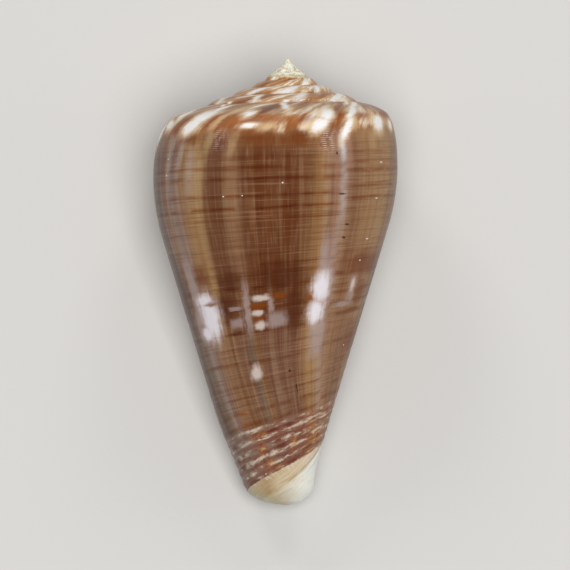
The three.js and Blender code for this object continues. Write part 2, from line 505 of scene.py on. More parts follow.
def inner_group(profile, placing):
    """Inner face of the outer wall, a number of turns back from the lip."""
    tree = new_group("Inner Face", ("Back", "Row", *WALL_INPUTS))
    sockets(tree, "OUTPUT", ("Place",), "NodeSocketVector")
    sockets(tree, "OUTPUT", ("Turn",))
    source, size = group_inputs(tree)
    row = size["Row"]
    edge = LIP_TURN - sweep_back(row)
    turn = edge - size["Back"]

    def point_at(turn, row):
        node = use(tree, profile, {"Turn": turn, "Row": row}, source)
        return Num(node.outputs["Radius"]), Num(node.outputs["Depth"])

    side_row = least(most(row, 1), BAND_ROW)
    before = point_at(turn, side_row - 1)
    after = point_at(turn, side_row + 1)
    radius, depth = point_at(turn, side_row)
    run = hypot(after[0] - before[0], after[1] - before[1])
    grown = widest_radius(turn, size) / size["Shoulder Radius"]
    near_lip = smooth((edge - turn) / LIP_TAPER_TURNS)
    part = mix(size["Lip Thickness"], size["Wall Thickness"] * grown, near_lip) / run
    side = radius - part * (after[1] - before[1]), depth + part * (after[0] - before[0])
    seam = point_at(turn - 1, CORNER_ROW)
    core = point_at(turn - 1, FLOOR_ROW)
    across = clamp01((row - BAND_ROW) / (FLOOR_ROW - BAND_ROW))
    point = [mix(mix(seam[i], side[i], clamp01(row)), core[i], across) for i in (0, 1)]
    place = use(tree, placing, {"Radius": point[0], "Depth": point[1], "Turn": turn})
    give(tree, place.outputs[0], turn)
    return tree


def ladder_group():
    """Profile row at a step of the mesh's ladder of rows."""
    tree = new_group("Row Ladder", ("Step",), ("Row",))
    step = Num(tree.nodes.new("NodeGroupInput").outputs[0])
    row = 0.0
    start = 0
    for first, last, steps in ROW_LADDER:
        row = clamp01((step - start) / steps) * (last - first) + row
        start += steps
    give(tree, row)
    return tree


def steps_to(row):
    return sum(
        round(steps * min(max((row - first) / (last - first), 0), 1))
        for first, last, steps in ROW_LADDER
    )


def sweep_back(row):
    """How far the lip sweeps back at a row, which opens the notch at the base."""
    return rise(row, NOTCH_ROW, FLOOR_ROW - NOTCH_ROW) * NOTCH_TURNS


def lean(row):
    """How far growth lines lag near the suture and lead near the base, in turns."""
    top = clamp01((7 - row) / 7) ** 1.3 * 0.07
    base = most(row - 17, 0) ** 1.7 * 0.0035
    return top + base


def relief_group():
    """Height of the outer face's own relief, in mm: cords, growth waves, scar and crust."""
    tree = new_group("Outer Relief", ("Turn", "Row", "Radius", "Seed", *RELIEF_INPUTS), ("Height",))
    _, size = group_inputs(tree)
    turn, row, radius, seed = (size[name] for name in ("Turn", "Row", "Radius", "Seed"))
    uneven = noise(tree, vector(tree, turn * 40, row * 2.8, seed), detail=1.0)
    ends = rise(row, 22.2, -0.3)
    on_base = rise(row, 19.7, 0.7) * ends
    cords = (crests(row, CORD_PITCH, CORD_ROW) - 1) * on_base * (uneven * 0.8 + 0.6)
    on_side = rise(row, 16.5, 2) * (1 - on_base) * ends
    threads = (crests(row, 0.5, 19.4) - 1) * on_side * 0.22
    leaned = turn + lean(row)
    waves = noise(tree, vector(tree, leaned * 42, row * 0.12, seed + 5))
    fade = rise(turn, -0.60, 0.08) * smooth(row / 3)
    dip = ridge(leaned, -0.0795, 0.0065) * 0.11
    step = rise(leaned, -0.086, 0.013) * rise(leaned, 0.1, -0.17) * 0.05
    scar = (dip + step) * fade * rise(row, 23, -2)
    lumps = vector(tree, radius * 1.9, turn * 9.5, seed + 11)
    lumps = noise(tree, lumps, detail=3.0, roughness=0.6)
    near_tip = rise(radius, NIPPLE_EDGE + 0.15, -0.25)
    crust = (lumps - 0.62) * size["Crust Height"] * smooth(radius / 0.5) + 0.10
    raised = (cords + threads) * size["Cord Height"] - waves * fade * size["Wave Height"]
    give(tree, raised - scar + crust * near_tip)
    return tree


class Grower:
    """Lays the shell's sheets in one geometry tree, all by the same rule."""

    def __init__(self, tree):
        self.tree = tree
        self.profile = profile_group()
        self.placing = placing_group()
        self.ladder = ladder_group()
        self.inner = inner_group(self.profile, self.placing)
        self.relief = relief_group()
        self.source, self.size = group_inputs(tree)
        self.sheets = []

    def cells(self, columns, rows):
        """A sheet of cells with each point's column and row step."""
        settings = {"Size X": 1.0, "Size Y": 1.0, "Vertices X": columns + 1, "Vertices Y": rows + 1}
        grid = add(self.tree, "GeometryNodeMeshGrid", settings)
        index = self.tree.nodes.new("GeometryNodeInputIndex").outputs[0]
        point = add(self.tree, "GeometryNodeFieldOnDomain", {0: index}, domain="POINT")
        index = Num(point.outputs[0])
        column = calc("FLOOR", (index + 0.5) / (rows + 1))
        return grid.outputs["Mesh"], column, index - column * (rows + 1)

    def row_at(self, step):
        return Num(use(self.tree, self.ladder, {"Step": step}).outputs[0])

    def point_at(self, turn, row):
        node = use(self.tree, self.profile, {"Turn": turn, "Row": row}, self.source)
        return Num(node.outputs["Radius"]), Num(node.outputs["Depth"])

    def place(self, point, turn):
        given = {"Radius": point[0], "Depth": point[1], "Turn": turn}
        return use(self.tree, self.placing, given).outputs[0]

    def outer_place(self, turn, row):
        return self.place(self.point_at(turn, row), turn)

    def inner_place(self, back, row):
        node = use(self.tree, self.inner, {"Back": back, "Row": row}, self.source)
        return node.outputs["Place"], Num(node.outputs["Turn"])

    def height(self, turn, row, radius):
        given = {"Turn": turn, "Row": row, "Radius": radius}
        return Num(use(self.tree, self.relief, given, self.source).outputs[0])

    def keep(self, mesh, place, turn, row, lining, relief=0.0, flip=False):
        """Put a sheet in place, remember where each point is in growth, and keep it."""
        moved = add(self.tree, "GeometryNodeSetPosition", {"Geometry": mesh, "Position": place})
        last = moved.outputs[0]
        kept = (("growth", turn, "CORNER"), ("row", row, "CORNER"), ("lining", lining, "CORNER"))
        for name, value, domain in (*kept, ("relief", relief, "POINT")):
            kind = "GeometryNodeStoreNamedAttribute"
            given = {"Geometry": last, "Name": name}
            stored = add(self.tree, kind, given, data_type="FLOAT", domain=domain)
            put(stored.inputs["Value"], value)
            last = stored.outputs[0]
        if flip:
            last = add(self.tree, "GeometryNodeFlipFaces", {"Mesh": last}).outputs[0]
        self.sheets.append(last)


def grow_outer(g):
    mesh, column, step = g.cells(COLUMNS, steps_to(POLE_ROW))
    row = g.row_at(step)
    turn = column / COLUMNS - 1 + LIP_TURN - sweep_back(row)
    point = g.point_at(turn, row)
    edge = smooth(column / 8) * smooth((COLUMNS - column) / 4)
    g.keep(mesh, g.place(point, turn), turn, row, 0.0, g.height(turn, row, point[0]) * edge)


def grow_spire(g):
    mesh, column, step = g.cells(SPIRE_COLUMNS, steps_to(JOIN_ROW))
    row = g.row_at(step)
    turn = column / COLUMNS + FIRST_TURN
    point = g.point_at(turn, row)
    edge = smooth((SPIRE_COLUMNS - column) / 8)
    g.keep(mesh, g.place(point, turn), turn, row, 0.0, g.height(turn, row, point[0]) * edge)


def grow_cap(g):
    """The first whorls, too worn to tell apart: a small cone."""
    mesh, column, step = g.cells(COLUMNS, CAP_RINGS)
    turn = column / COLUMNS + FIRST_TURN
    radius = join_radius(turn * 0 + FIRST_TURN, g.size) * step / CAP_RINGS
    place = g.place((radius, spire_depth(radius)), turn)
    g.keep(mesh, place, turn, 0.0, 0.0, g.height(turn, 0.0, radius))


def grow_chamber(g):
    """The wall's inner face, and the whorl inside it that closes the chamber."""
    rows = steps_to(FLOOR_ROW)
    mesh, column, step = g.cells(CHAMBER_COLUMNS, rows)
    row = g.row_at(step)
    back = (column / CHAMBER_COLUMNS) ** CHAMBER_CROWDING * CHAMBER_TURNS
    place, turn = g.inner_place(back, row)
    g.keep(mesh, place, turn, row, 1.0)
    skipped = steps_to(CORNER_ROW)
    mesh, column, step = g.cells(CHAMBER_COLUMNS, rows - skipped)
    row = g.row_at(step + skipped)
    back = (column / CHAMBER_COLUMNS) ** CHAMBER_CROWDING * CHAMBER_TURNS
    turn = LIP_TURN - 1 - sweep_back(row) - back
    g.keep(mesh, g.outer_place(turn, row), turn, row, 1.0, flip=True)


def grow_chamber_end(g):
    mesh, column, step = g.cells(1, steps_to(FLOOR_ROW))
    wall_row = g.row_at(step)
    core_row = most(wall_row, CORNER_ROW)
    wall, turn = g.inner_place(CHAMBER_TURNS, wall_row)
    core = g.outer_place(LIP_TURN - 1 - sweep_back(core_row) - CHAMBER_TURNS, core_row)
    g.keep(mesh, mixed_place(g.tree, column, wall, core), turn, wall_row, 1.0)


def grow_lip(g):
    """A rounded strip that joins the two faces of the wall and runs round the tip."""
    mesh, column, step = g.cells(LIP_STEPS, steps_to(POLE_ROW))
    row = g.row_at(step)
    turn = LIP_TURN - sweep_back(row)
    inner, _ = g.inner_place(0.0, least(row, FLOOR_ROW))
    behind = g.outer_place(turn - 1, row)
    inside = mixed_place(g.tree, over(row, FLOOR_ROW), inner, behind)
    across = column / LIP_STEPS
    edge = mixed_place(g.tree, across, g.outer_place(turn, row), inside)
    angle = turn * math.tau
    along = vector(g.tree, -calc("COSINE", angle), 0.0, -calc("SINE", angle))
    bulge = calc("SINE", across * math.pi) * LIP_BULGE * rise(row, 26, -2)
    rounded = vector_sum(g.tree, "SCALE", along, bulge)
    place = vector_sum(g.tree, "ADD", edge, rounded.outputs[0])
    seam = g.outer_place(turn - 1, across + JOIN_ROW)
    place = mixed_place(g.tree, over(step, 0.5), seam, place.outputs[0])
    g.keep(mesh, place, turn, row, across * 0.5 + 0.25)


def growth_tree():
    tree = new_group("Cone Shell Growth", (*SIZE_NAMES, "Seed"))
    sockets(tree, "INPUT", ("Apex", "Lowest Corner", "Highest Corner"), "NodeSocketVector")
    sockets(tree, "INPUT", ("Material",), "NodeSocketMaterial")
    sockets(tree, "OUTPUT", ("Geometry",), "NodeSocketGeometry")
    g = Grower(tree)
    for grow in (grow_outer, grow_spire, grow_cap, grow_chamber, grow_chamber_end, grow_lip):
        grow(g)
    joined = tree.nodes.new("GeometryNodeJoinGeometry")
    for sheet in g.sheets:
        tree.links.new(sheet, joined.inputs[0])

    def change(kind, geometry, **given):
        return add(tree, kind, {"Geometry": geometry, **given}).outputs[0]

    given = g.source.outputs
    shell = change("GeometryNodeMergeByDistance", joined.outputs[0], Distance=MERGE_DISTANCE)
    relief = add(tree, "GeometryNodeInputNamedAttribute", {"Name": "relief"}, data_type="FLOAT")
    normal = tree.nodes.new("GeometryNodeInputNormal").outputs[0]
    offset = vector_sum(tree, "SCALE", normal, Num(relief.outputs[0]) * MM)
    shell = change("GeometryNodeSetPosition", shell, Offset=offset.outputs[0])
    tipped = (REST_PITCH, 0, 0)
    shell = change("GeometryNodeTransform", shell, Rotation=tipped, Translation=given["Apex"])
    here = tree.nodes.new("GeometryNodeInputPosition").outputs[0]
    low = vector_sum(tree, "MAXIMUM", here, given["Lowest Corner"])
    both = vector_sum(tree, "MINIMUM", low.outputs[0], given["Highest Corner"])
    shell = change("GeometryNodeSetPosition", shell, Position=both.outputs[0])
    shell = change("GeometryNodeSetShadeSmooth", shell)
    shell = change("GeometryNodeRealizeInstances", shell)
    give(tree, change("GeometryNodeSetMaterial", shell, Material=given["Material"]))
    return tree


def grow_mesh(growth, material):
    """Run the growth tree once and keep its result as a plain mesh."""
    tree = growth_tree()
    seedling = bpy.data.objects.new("seedling", bpy.data.meshes.new("seedling"))
    bpy.context.scene.collection.objects.link(seedling)
    modifier = seedling.modifiers.new("growth", "NODES")
    modifier.node_group = tree
    low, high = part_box("shell")
    values = {name: getattr(growth, prop) for name, prop in zip(SIZE_NAMES, SIZE_PROPS)}
    values.update({"Seed": float(growth.seed), "Apex": APEX, "Material": material})
    values.update({"Lowest Corner": tuple(low), "Highest Corner": tuple(high)})
    keys = {s.name: s.identifier for s in tree.interface.items_tree if s.item_type == "SOCKET"}
    for name, value in values.items():
        modifier[keys[name]] = value
    graph = bpy.context.evaluated_depsgraph_get()
    mesh = bpy.data.meshes.new_from_object(seedling.evaluated_get(graph), depsgraph=graph)
    seedling.modifiers.remove(modifier)
    bpy.data.objects.remove(seedling)
    return mesh


# ---------------------------------------------------------------- the shell's markings

# Colour bands left by the lip as it grew: turn, shade above the middle, shade below it. The pale
# bands at turns 0.13 and 0.172 are partly a painted sheen down the body.
BANDS = (
    (-0.62, "taupe", "taupe"), (-0.56, "chestnut", "mauve"), (-0.5, "tan", "fawn"),
    (-0.44, "chestnut", "mauve"), (-0.38, "sand", "sand"), (-0.33, "russet", "mauve"),
    (-0.28, "fawn", "fawn"), (-0.235, "russet", "bark"), (-0.2, "bark", "bark"),
    (-0.17, "sand", "tan"), (-0.13, "tan", "fawn"), (-0.092, "fawn", "fawn"),
    (-0.07, "buff", "buff"), (-0.045, "tan", "sand"), (-0.028, "bark", "fawn"),
    (-0.012, "chestnut", "mauve"), (0.012, "chestnut", "mauve"), (0.045, "chestnut", "mauve"),
    (0.062, "russet", "bark"), (0.074, "fawn", "taupe"), (0.088, "russet", "mauve"),
    # painted sheen: partly in the pale bands at turns 0.13 and 0.172
    (0.112, "russet", "bark"), (0.13, "sand", "fawn"), (0.15, "tan", "fawn"), (0.172, "ash", "ash"),
    (0.19, "fawn", "taupe"), (0.215, "umber", "umber"), (0.24, "umber", "umber"),
    (0.285, "fawn", "fawn"), (0.325, "russet", "mauve"), (0.36, "sand", "sand"),
)

# Thin spiral lines: row, half width in rows, strength
LINES = (
    (8.35, 0.12, 0.25), (9.1, 0.16, 0.45), (9.85, 0.15, 0.7), (10.35, 0.094, 0.85),
    (11.02, 0.075, 0.8), (11.52, 0.075, 0.9), (11.97, 0.062, 0.45), (12.45, 0.062, 0.22),
    (13.35, 0.062, 0.28), (13.76, 0.075, 0.5), (14.14, 0.087, 0.45), (14.66, 0.1, 0.8),
    (15.12, 0.075, 0.6), (15.44, 0.1, 0.7), (15.92, 0.11, 0.65), (16.38, 0.075, 0.7),
    (16.98, 0.062, 0.3), (17.55, 0.075, 0.6), (18.42, 0.087, 0.45), (18.86, 0.075, 0.42),
    (19.4, 0.087, 0.62), (19.92, 0.1, 0.66),
)

# Marks: turn, row, half width in turns, half height in rows, and lean in turns a row if any
SHOULDER_WHITE = (
    (0.147, 6.0, 0.015, 1.0, 0.008), (0.131, 4.3, 0.017, 1.6, 0.006),
    (0.119, 2.4, 0.008, 1.6, 0.003), (0.137, 0.7, 0.006, 0.9, -0.012),
    (0.056, 4.1, 0.011, 1.0, 0.004), (0.053, 6.2, 0.013, 0.36, 0.01),
    (0.008, 1.2, 0.007, 2.0, -0.003), (-0.061, 4.6, 0.011, 1.5, 0.004),
    (-0.048, 6.2, 0.012, 0.9, 0.008), (-0.087, 6.7, 0.0065, 1.3, 0.008),
    (-0.108, 3.9, 0.007, 1.7, 0.011), (-0.15, 1.4, 0.011, 1.4, 0.024),
    (-0.135, 0.8, 0.008, 1.0, 0.018), (-0.159, 6.0, 0.014, 1.15, 0.003),
    (-0.2, 6.3, 0.01, 0.7, 0.004), (0.19, 3.6, 0.012, 1.5), (0.208, 5.6, 0.013, 0.8, -0.004),
    (0.236, 6.6, 0.01, 1.2, 0.004), (0.285, 5.2, 0.014, 1.3, 0.006),
    (0.335, 4.8, 0.012, 1.6, 0.008), (-0.252, 5.2, 0.013, 1.4, 0.008),
    (-0.305, 5.8, 0.01, 1.1, 0.006), (-0.36, 4.4, 0.015, 1.7, 0.01),
    (-0.425, 5.9, 0.012, 1.0, 0.006), (-0.48, 4.9, 0.01, 1.5, 0.008),
    (-0.545, 5.5, 0.015, 1.3, 0.008), (-0.605, 4.6, 0.011, 1.6, 0.008),
)
SPIRE_WHITE = (
    (-0.926, 2.3, 0.011, 1.9, 0.001), (-1.036, 1.7, 0.019, 2.4, 0.0095),
    (-1.166, 2.0, 0.02, 2.0, 0.034), (-0.802, 1.8, 0.018, 2.4, -0.012), (-0.996, 3.75, 0.008, 0.35),
    (-0.865, 3.75, 0.006, 0.35), (-1.11, 3.8, 0.007, 0.3), (-1.9, 2.0, 0.02, 2.4, 0.016),
    (-2.02, 2.0, 0.022, 2.4, 0.016), (-2.13, 2.0, 0.018, 2.4, 0.016),
)
SHOULDER_TAN = (
    (0.103, 5.5, 0.007, 1.6, 0.006), (0.08, 3.0, 0.01, 1.2, 0.006), (0.03, 6.4, 0.012, 0.6, 0.006),
    (-0.03, 6.3, 0.01, 0.7, 0.006), (-0.145, 4.6, 0.009, 1.2, 0.006),
    (-0.185, 5.8, 0.012, 1.0, 0.004), (-0.1, 6.4, 0.008, 0.8, 0.006),
)
SHOULDER_BROWN = (
    (0.116, 5.2, 0.01, 0.85, 0.006), (0.071, 5.3, 0.014, 0.9, 0.004),
    (0.035, 5.0, 0.012, 0.5, 0.004), (-0.012, 5.4, 0.034, 0.8, 0.006),
    (-0.082, 5.0, 0.01, 0.9, 0.006), (-0.125, 5.0, 0.016, 0.7, 0.006),
    (-0.19, 4.7, 0.011, 0.8, 0.004), (0.142, 7.5, 0.018, 0.45), (0.042, 7.55, 0.022, 0.45),
    (-0.01, 7.6, 0.028, 0.55), (0.25, 5.4, 0.012, 0.9, 0.004), (0.31, 5.4, 0.01, 1.0, 0.004),
    (-0.28, 5.0, 0.012, 0.9, 0.004), (-0.335, 5.4, 0.011, 0.8, 0.004),
    (-0.395, 5.2, 0.012, 0.9, 0.004), (-0.455, 5.4, 0.01, 0.8, 0.004),
    (-0.515, 5.0, 0.012, 0.9, 0.004), (-0.575, 5.4, 0.01, 0.8, 0.004),
)
SIDE_TAN = (
    (0.109, 7.6, 0.0055, 1.5, 0.004), (0.12, 9.9, 0.0075, 1.3, 0.002),
    (0.072, 7.6, 0.0045, 1.2, 0.004), (-0.135, 7.8, 0.007, 0.9, 0.002),
)
SIDE_MAUVE = (
    (0.09, 7.9, 0.01, 1.3, 0.005), (0.166, 8.0, 0.0045, 1.2, 0.003),
    (0.198, 8.4, 0.006, 1.8, 0.003), (-0.052, 7.6, 0.008, 0.9, 0.004),
)
SIDE_GREY = (
    (0.138, 9.6, 0.008, 1.3, 0.002), (0.155, 8.6, 0.0045, 1.5, 0.004),
    (0.181, 9.0, 0.005, 1.8, 0.003),
)
MIDDLE_WHITE = (
    (0.15, 15.62, 0.022, 0.78), (0.156, 14.92, 0.02, 0.24), (0.17, 16.18, 0.014, 0.26),
    (-0.06, 14.95, 0.017, 0.62), (-0.053, 15.95, 0.015, 0.48), (0.3, 15.6, 0.016, 0.75),
    (-0.27, 15.4, 0.014, 0.55), (-0.33, 15.8, 0.016, 0.6), (-0.335, 14.9, 0.01, 0.16),
    (-0.45, 15.5, 0.02, 0.8), (-0.56, 15.7, 0.017, 0.65),
)
MIDDLE_CREAM = (
    (0.046, 15.08, 0.0135, 0.13), (0.053, 15.66, 0.0095, 0.12), (0.053, 16.18, 0.0108, 0.17),
    (-0.128, 15.02, 0.006, 0.24), (0.07, 18.0, 0.012, 0.3),
)
MIDDLE_LILAC = (
    (0.094, 15.95, 0.013, 0.16), (0.092, 15.4, 0.012, 0.07), (0.071, 15.5, 0.005, 0.9),
    (0.019, 16.02, 0.016, 0.28), (0.03, 15.4, 0.005, 0.3), (0.186, 15.95, 0.01, 0.6),
    (-0.062, 13.95, 0.01, 1.1), (-0.06, 16.95, 0.016, 0.75), (-0.112, 15.78, 0.022, 0.1),
    (-0.128, 15.2, 0.009, 0.55), (0.176, 14.4, 0.01, 1.0), (0.26, 15.9, 0.012, 0.25),
    (-0.23, 15.9, 0.02, 0.16), (-0.395, 15.9, 0.02, 0.2), (-0.51, 15.9, 0.016, 0.2),
)
MIDDLE_DARK = (
    (0.01, 14.3, 0.04, 0.55), (-0.01, 15.55, 0.018, 1.0), (0.112, 15.3, 0.022, 0.55),
    (0.095, 14.35, 0.02, 0.45), (0.225, 14.6, 0.03, 0.9), (0.1, 16.36, 0.014, 0.08),
    (-0.24, 14.4, 0.04, 0.5), (-0.39, 14.5, 0.03, 0.6), (-0.505, 14.6, 0.03, 0.7),
)
MIDDLE_RUSSET = (
    (-0.15, 14.15, 0.05, 0.5), (-0.158, 15.4, 0.018, 0.45), (-0.15, 16.1, 0.024, 0.1),
    (-0.175, 17.4, 0.03, 0.6), (0.15, 14.05, 0.014, 0.4), (0.04, 7.5, 0.022, 0.6),
    (-0.01, 7.6, 0.024, 0.6), (0.142, 7.45, 0.016, 0.45),
)
MIDDLE_ORANGE = (
    (0.052, 15.4, 0.015, 0.1), (0.053, 15.92, 0.011, 0.09), (0.014, 15.08, 0.012, 0.12),
    (0.142, 15.12, 0.014, 0.085), (-0.038, 15.33, 0.006, 0.1),
)
BASE_ORANGE = (
    (0.092, 20.4, 0.026, 0.09), (0.086, 20.97, 0.012, 0.26), (0.062, 21.62, 0.018, 0.15),
    (0.04, 21.9, 0.022, 0.06), (-0.022, 21.15, 0.01, 0.35), (-0.09, 20.95, 0.013, 0.18),
    (-0.11, 21.5, 0.026, 0.1), (0.122, 19.44, 0.014, 0.08), (0.118, 19.9, 0.016, 0.08),
)
BASE_PALE = (
    (0.16, 21.28, 0.015, 0.06), (0.105, 21.25, 0.032, 0.051), (0.052, 21.25, 0.024, 0.085),
    (0.0, 21.24, 0.024, 0.0425), (0.135, 20.53, 0.021, 0.0425), (0.075, 20.57, 0.024, 0.038),
    (-0.028, 20.48, 0.021, 0.051), (-0.088, 20.42, 0.036, 0.06), (0.0, 20.8, 0.015, 0.06),
    (-0.035, 20.88, 0.018, 0.051), (-0.05, 21.25, 0.021, 0.0425), (-0.115, 21.1, 0.027, 0.068),
    (-0.13, 20.62, 0.015, 0.051), (0.035, 21.66, 0.027, 0.0425), (-0.003, 21.62, 0.018, 0.034),
    (0.148, 21.68, 0.015, 0.0425), (0.18, 20.95, 0.012, 0.0425), (0.11, 20.14, 0.036, 0.051),
)
BASE_DARK = (
    (0.2, 20.5, 0.018, 0.07), (0.186, 21.28, 0.018, 0.07), (0.036, 20.84, 0.016, 0.06),
    (0.022, 21.12, 0.014, 0.1), (0.045, 20.38, 0.018, 0.06), (-0.003, 20.36, 0.013, 0.08),
    (-0.02, 20.85, 0.01, 0.08), (0.01, 21.6, 0.012, 0.12), (-0.08, 21.68, 0.022, 0.07),
    (0.205, 20.98, 0.02, 0.07), (-0.02, 21.92, 0.04, 0.06), (0.15, 21.95, 0.05, 0.06),
)
LIGHT_CHIPS = (
    (0.007, 10.56, 0.0012, 0.03), (0.086, 11.01, 0.0012, 0.026), (0.06, 11.01, 0.0009, 0.026),
    (-0.151, 9.74, 0.003, 0.045), (-0.144, 11.38, 0.0029, 0.026), (-0.14, 13.1, 0.0029, 0.026),
    (-0.134, 14.0, 0.0019, 0.03), (-0.147, 17.65, 0.0022, 0.026), (0.09, 21.9, 0.0022, 0.0225),
    (0.186, 10.06, 0.0014, 0.03), (0.183, 8.95, 0.0014, 0.0375),
)
DARK_CHIPS = (
    (-0.068, 8.95, 0.0014, 0.13), (-0.077, 11.12, 0.0055, 0.04, -0.02),
    (-0.09, 12.4, 0.0035, 0.04, -0.02), (-0.088, 12.95, 0.003, 0.05, -0.02),
    (-0.004, 18.17, 0.003, 0.05), (-0.021, 18.86, 0.0014, 0.11, -0.008),
    (-0.024, 19.05, 0.001, 0.16, -0.01),
)

# Colours along an amount of unevenness, and along the turn
SHOULDER_STOPS = (
    (0.33, "74401f"), (0.43, "935f39"), (0.50, "ab7d55"), (0.56, "c6a27a"), (0.61, "e4d0b6"),
    (0.66, "f4ece2"),
)
SPIRE_STOPS = (
    (0.33, "83492a"), (0.41, "a0643a"), (0.48, "b98252"), (0.54, "d3aa7c"), (0.58, "efe0c8"),
    (0.64, "fbf6ee"),
)
CREAM_UPPER = (
    (-0.16, "dccec2"), (-0.10, "dac6ae"), (-0.04, "d0bb9b"), (0.04, "c6b392"), (0.09, "ad9169"),
    (0.13, "b39e7a"), (0.18, "b6ab8a"), (0.24, "b8b296"),
)
CREAM_LOWER = (
    (-0.14, "eff1ea"), (-0.06, "e6e3d4"), (0.0, "d4cab6"), (0.05, "c9b99c"), (0.09, "bcae88"),
    (0.15, "c0b592"), (0.24, "c4bda5"),
)


def tint(value):
    """A display colour or a setting's colour as a socket value; a socket stays as it is."""
    value = linear(value) if isinstance(value, str) else value
    return (*value, 1) if isinstance(value, tuple) else value


def mixed(tree, amount, first, second, mode="MIX"):
    """One colour laid over another by an amount from 0 to 1."""
    node = add(tree, "ShaderNodeMix", data_type="RGBA", blend_type=mode)
    for place, value in ((0, amount), (6, tint(first)), (7, tint(second))):
        put(node.inputs[place], value)
    return node.outputs[2]


def ramp(tree, amount, stops):
    """Colours in order along an amount; a ramp holds up to 32."""
    node = add(tree, "ShaderNodeValToRGB", {0: amount})
    points = node.color_ramp.elements
    while len(points) < len(stops):
        points.new(0.5)
    for point, (position, _) in zip(points, stops):
        point.position = position
    for point, (_, shade) in zip(points, stops):
        point.color = tint(shade)
    return node.outputs[0]


def turn_ramp(tree, turn, stops):
    """Colours in order along the turn."""
    first = stops[0][0]
    span = stops[-1][0] - first
    return ramp(tree, (turn - first) / span, [((t - first) / span, c) for t, c in stops])


def mark_group(square):
    """A power of the distance to a mark, or to one before it if that is nearer."""
    tree = new_group("Square Mark" if square else "Round Mark", (), ("Nearest",), "ShaderNodeTree")
    sockets(tree, "INPUT", ("Spot", "Across", "Down"), "NodeSocketVector")
    sockets(tree, "INPUT", ("Before",))
    source = tree.nodes.new("NodeGroupInput").outputs
    reach = 0.0
    for name in ("Across", "Down"):
        dot = vector_sum(tree, "DOT_PRODUCT", source["Spot"], source[name])
        part = Num(dot.outputs["Value"])
        part = part * part
        reach = (part * part if square else part) + reach
    give(tree, least(reach, Num(source["Before"])))
    return tree


def line_group():
    """Depth of one thin spiral line, or of one before it if that is deeper."""
    names = ("Row", "Centre", "Half Width", "Strength", "Before")
    tree = new_group("Spiral Line", names, ("Depth",), "ShaderNodeTree")
    source = tree.nodes.new("NodeGroupInput").outputs
    row, centre, half, strength, before = (Num(source[name]) for name in names)
    reach = calc("ABSOLUTE", (row - centre) / half)
    give(tree, most(clamp01((1.5 - reach) / 1.3) * strength, before))
    return tree


def marks(p, spot, entries, square=False):
    """Distance to the nearest mark's middle: under 1 is inside it."""
    nearest = 99.0
    for turn, row, wide, high, *rest in entries:
        slope = rest[0] if rest else 0.0
        across = (1 / wide, -slope / wide, -(turn - slope * row) / wide)
        down = (0.0, 1 / high, -row / high)
        given = {"Spot": spot, "Across": across, "Down": down, "Before": nearest}
        nearest = use(p.tree, p.square_mark if square else p.round_mark, given).outputs[0]
    reach = sqrt(Num(nearest))
    return sqrt(reach) if square else reach


def inside(reach, softness, amount):
    return smooth((1 + softness - reach) / (2 * softness)) * amount


def spiral_lines(p, row):
    """Depth of the thin dark spiral lines."""
    deepest = 0.0
    for centre, half, strength in LINES:
        given = {"Row": row, "Centre": centre, "Half Width": half, "Strength": strength}
        deepest = use(p.tree, p.line, {**given, "Before": deepest}).outputs[0]
    return Num(deepest)


class Paint:
    """The shell's coat of colour, laid on in the order that the animal laid its bands."""

    def __init__(self, tree, colours):
        self.tree = tree
        self.colours = colours
        self.coat = None
        self.turn, self.row, self.lining = (self.read(name) for name in ("growth", "row", "lining"))
        self.leaned = self.turn + lean(self.row)
        self.round_mark = mark_group(False)
        self.square_mark = mark_group(True)
        self.line = line_group()

    def read(self, name):
        node = add(self.tree, "ShaderNodeAttribute", attribute_name=name)
        return Num(node.outputs["Fac"])

    def shade(self, name):
        return tuple(getattr(self.colours, name))

    def grain(self, across, down, offset, detail=2.0, roughness=0.5, start=None):
        """Unevenness that is so many times finer across growth lines and down them."""
        place = vector(self.tree, (start or self.leaned) * across, self.row * down, offset)
        return noise(self.tree, place, detail=detail, roughness=roughness)

    def flecks(self, *settings):
        """The same, but square to the axis and not to the growth lines."""
        return self.grain(*settings, start=self.turn)

    def spot(self, shake_turn, shake_row):
        """Growth place with a ragged edge to whatever is drawn on it."""
        one = self.grain(130, 3.5, 2.0) - 0.5
        two = self.grain(34, 7.0, 7.0) - 0.5
        return vector(self.tree, self.turn + one * shake_turn, self.row + two * shake_row, 1.0)

    def lay(self, amount, shade, mode="MIX"):
        self.coat = mixed(self.tree, amount, self.coat, shade, mode)

    def stain(self, spot, entries, rough, softness, amount, shade, square=False):
        """Lay a colour on a list of marks, with a roughness added at their edges."""
        self.lay(inside(marks(self, spot, entries, square) + rough, softness, amount), shade)


def lay_body(p):
    """Growth bands, partly with a painted sheen, streaks and the darker belt above the middle."""
    place = p.leaned + (p.grain(26, 0.30, 20.0, 3.0) - 0.5) * 0.016
    stops = [[(band[0], p.shade(band[side])) for band in BANDS] for side in (1, 2)]
    above, below = (turn_ramp(p.tree, place, shades) for shades in stops)
    p.coat = mixed(p.tree, rise(p.row, 14.8, 2.6), above, below)
    columns = p.grain(85, 0.07, 13.0, 3.0, 0.6)
    p.lay(rise(columns, 0.50, 0.12) * 0.16, "b39878")
    p.lay(rise(columns, 0.50, -0.12) * 0.26, "56301f")
    streaks = p.grain(70, 0.22, 3.0, 4.0, 0.6)
    p.lay(rise(streaks, 0.50, 0.22) * 0.22, "ae8660")
    p.lay(rise(streaks, 0.50, -0.22) * 0.28, "6a3210")
    p.lay(rise(p.grain(330, 0.5, 9.0), 0.54, 0.16) * 0.09, "c8ac94")
    threads = p.flecks(8, 11, 4.0, 3.0, 0.65)
    p.lay(rise(threads, 0.48, -0.12) * 0.44, p.shade("chestnut"))
    p.lay(rise(threads, 0.54, 0.12) * 0.20, "b08c70")
    p.lay(rise(p.row, 9.0, -1.7) * 0.22, "b98a5e")


